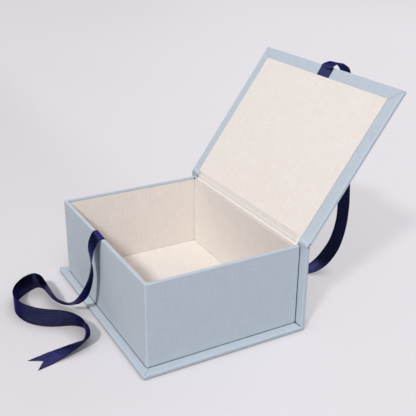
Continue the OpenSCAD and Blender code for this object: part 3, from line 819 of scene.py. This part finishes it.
def lamp(name, kind, at, colour, **settings):
    """A lamp of this kind that looks at the box."""
    data = bpy.data.lights.new(name, kind)
    data.color = colour
    for key, value in settings.items():
        setattr(data, key, value)
    obj = bpy.data.objects.new(name, data)
    obj.location = at
    obj.rotation_mode = "QUATERNION"
    obj.rotation_quaternion = (LAMPS_LOOK_AT - at).to_track_quat("-Z", "Y")
    bpy.context.scene.collection.objects.link(obj)
    return obj


class BOX_OT_stage(bpy.types.Operator):
    """Sets the camera at the photograph's view, with a pale floor and soft light"""

    bl_idname = "photobox.stage"
    bl_label = "Camera, floor and light"

    def execute(self, context):
        scene, stage = context.scene, context.scene.box_stage
        self.camera(scene, stage)
        self.floor(stage)
        self.light(stage)
        self.world(scene)
        scene.view_settings.view_transform = "Standard"
        return {"FINISHED"}

    def camera(self, scene, stage):
        """The camera, turned by its own angles and roll."""
        data = bpy.data.cameras.new("camera")
        data.lens = stage.lens
        data.sensor_width = 36.0
        camera = bpy.data.objects.new("camera", data)
        back = towards(stage.azimuth, stage.elevation)
        right = Vector((math.cos(stage.azimuth), math.sin(stage.azimuth), 0.0))
        facing = Matrix((right, back.cross(right), back)).transposed()
        turned = facing @ Matrix.Rotation(stage.roll, 3, "Z")
        camera.matrix_world = Matrix.Translation(stage.camera_at) @ turned.to_4x4()
        scene.collection.objects.link(camera)
        scene.camera = camera

    def floor(self, stage):
        """A wide floor, just below the underside of the box."""
        reach, below = 6.0, -0.2 * MM
        corners = [(-reach, -reach, below), (reach, -reach, below), (reach, reach, below),
                   (-reach, reach, below)]
        floor = mesh_object("floor", corners, [(0, 1, 2, 3)])
        paint(floor, self.floor_material(stage))

    def floor_material(self, stage):
        """A pale floor, with painted shade: a little darker to one side and near what stands on it.

        Seen by the camera or in a reflection, its far part has a share of plain colour.
        """
        tone = stage.floor_colour
        material, n, surface = new_material("pale_floor", tone, Roughness=0.85,
                                            Specular_IOR_Level=0.1)
        place = n.add("ShaderNodeTexCoord").outputs["Object"]
        parts = n.add("ShaderNodeSeparateXYZ", {"Vector": place})
        # Painted shade: the floor a little darker towards one side
        sideways = n.math("ADD", n.math("MULTIPLY", parts.outputs[0], 0.49),
                          n.math("MULTIPLY", parts.outputs[1], 0.87))
        even = n.mix(n.noise(place, 1.3, 1.0), rgba(tone, 0.98), rgba(tone, 1.01))
        darker = n.mix(1.0, even, rgba((0.95, 0.95, 0.94)), "MULTIPLY")
        # Painted shade on the floor near what stands on it, from ambient occlusion
        open_sky = n.add("ShaderNodeAmbientOcclusion", {"Distance": 24 * MM}, samples=8)
        contact_shade = n.between(open_sky.outputs["AO"], 0.42, 0.92, 0.70, 1.0)
        colour = n.mix(1.0, n.mix(n.between(sideways, -0.5, 0.2), darker, even), contact_shade, "MULTIPLY")

        path = n.add("ShaderNodeLightPath").outputs
        seen = n.math("MAXIMUM", path["Is Camera Ray"],
                      n.math("MAXIMUM", path["Is Glossy Ray"], path["Is Transmission Ray"]))
        n.feed(surface.inputs["Base Color"], n.mix(seen, rgba(tone, 0.56), colour))
        far = n.between(parts.outputs[1], -0.02, 0.16, 0.1, stage.floor_lift)
        plain = n.add("ShaderNodeEmission", {"Color": colour, "Strength": stage.floor_glow})
        mixed = n.add("ShaderNodeMixShader", {0: n.math("MULTIPLY", seen, far),
                                              1: surface.outputs[0], 2: plain.outputs[0]})
        n.feed(material.node_tree.nodes["Material Output"].inputs["Surface"], mixed.outputs[0])
        return material

    def light(self, stage):
        """The key light, the soft lamps and the card."""
        lamp("key", "SUN", towards(stage.key_azimuth, stage.key_height) * 2.5, KEY_COLOUR,
             energy=stage.key_strength, angle=stage.key_spread)
        for name, azimuth, height, distance, colour, size, power in LAMPS:
            at = towards(math.radians(azimuth), math.radians(height)) * distance
            lamp(name, "AREA", at, colour, shape="SQUARE", size=size, energy=power)
        # A card that only the satin's gloss shows, on the left
        card = lamp("card", "AREA", towards(math.radians(-91), math.radians(31)) * 2.2, CARD_COLOUR,
                    shape="RECTANGLE", size=2.4, size_y=0.9, energy=14.5)
        card.visible_diffuse = False

    def world(self, scene):
        """A grey studio sky, lighter overhead."""
        world = bpy.data.worlds.new("studio")
        world.use_nodes = True
        scene.world = world
        n = Nodes(world.node_tree)
        upward = n.add("ShaderNodeSeparateXYZ", {
            "Vector": n.add("ShaderNodeTexCoord").outputs["Generated"]}).outputs[2]
        sky = n.mix(n.between(upward, 0.15, 0.95), rgba(SKY_LOW), rgba(SKY_HIGH))
        n.feed(world.node_tree.nodes["Background"].inputs["Color"], sky)


class BOX_PT_panel(bpy.types.Panel):
    """Lists the steps that build the box's looks"""

    bl_label = "Photo Box"
    bl_space_type = "VIEW_3D"
    bl_region_type = "UI"
    bl_category = "Photo Box"

    def draw(self, context):
        scene = context.scene
        for group in (scene.box_cloth, scene.box_lining, scene.box_ribbon, scene.box_stage):
            box = self.layout.box()
            for key in group.bl_rna.properties.keys():
                if key not in ("rna_type", "name"):
                    box.prop(group, key)
        for operator in OPERATORS:
            self.layout.operator(operator.bl_idname)


PROPERTIES = {"box_cloth": BoxCloth, "box_lining": BoxLining, "box_ribbon": BoxRibbon,
              "box_stage": BoxStage}
OPERATORS = (BOX_OT_stage, BOX_OT_finish_nodes, BOX_OT_hinge, BOX_OT_front_tie, BOX_OT_lid_tie)


def register():
    """Registers the properties, operators and panel."""
    for key, group in PROPERTIES.items():
        bpy.utils.register_class(group)
        setattr(bpy.types.Scene, key, bpy.props.PointerProperty(type=group))
    for item in (*OPERATORS, BOX_PT_panel):
        bpy.utils.register_class(item)


def unregister():
    """Takes back what register() added."""
    for item in (BOX_PT_panel, *reversed(OPERATORS)):
        bpy.utils.unregister_class(item)
    for key, group in PROPERTIES.items():
        delattr(bpy.types.Scene, key)
        bpy.utils.unregister_class(group)


def main():
    """Builds the whole scene."""
    register()
    bpy.ops.photobox.stage()
    bpy.ops.photobox.finish_nodes()
    bpy.ops.photobox.hinge()
    bpy.ops.photobox.front_tie()
    bpy.ops.photobox.lid_tie()
    bpy.context.view_layer.update()


if __name__ == "__main__":
    main()
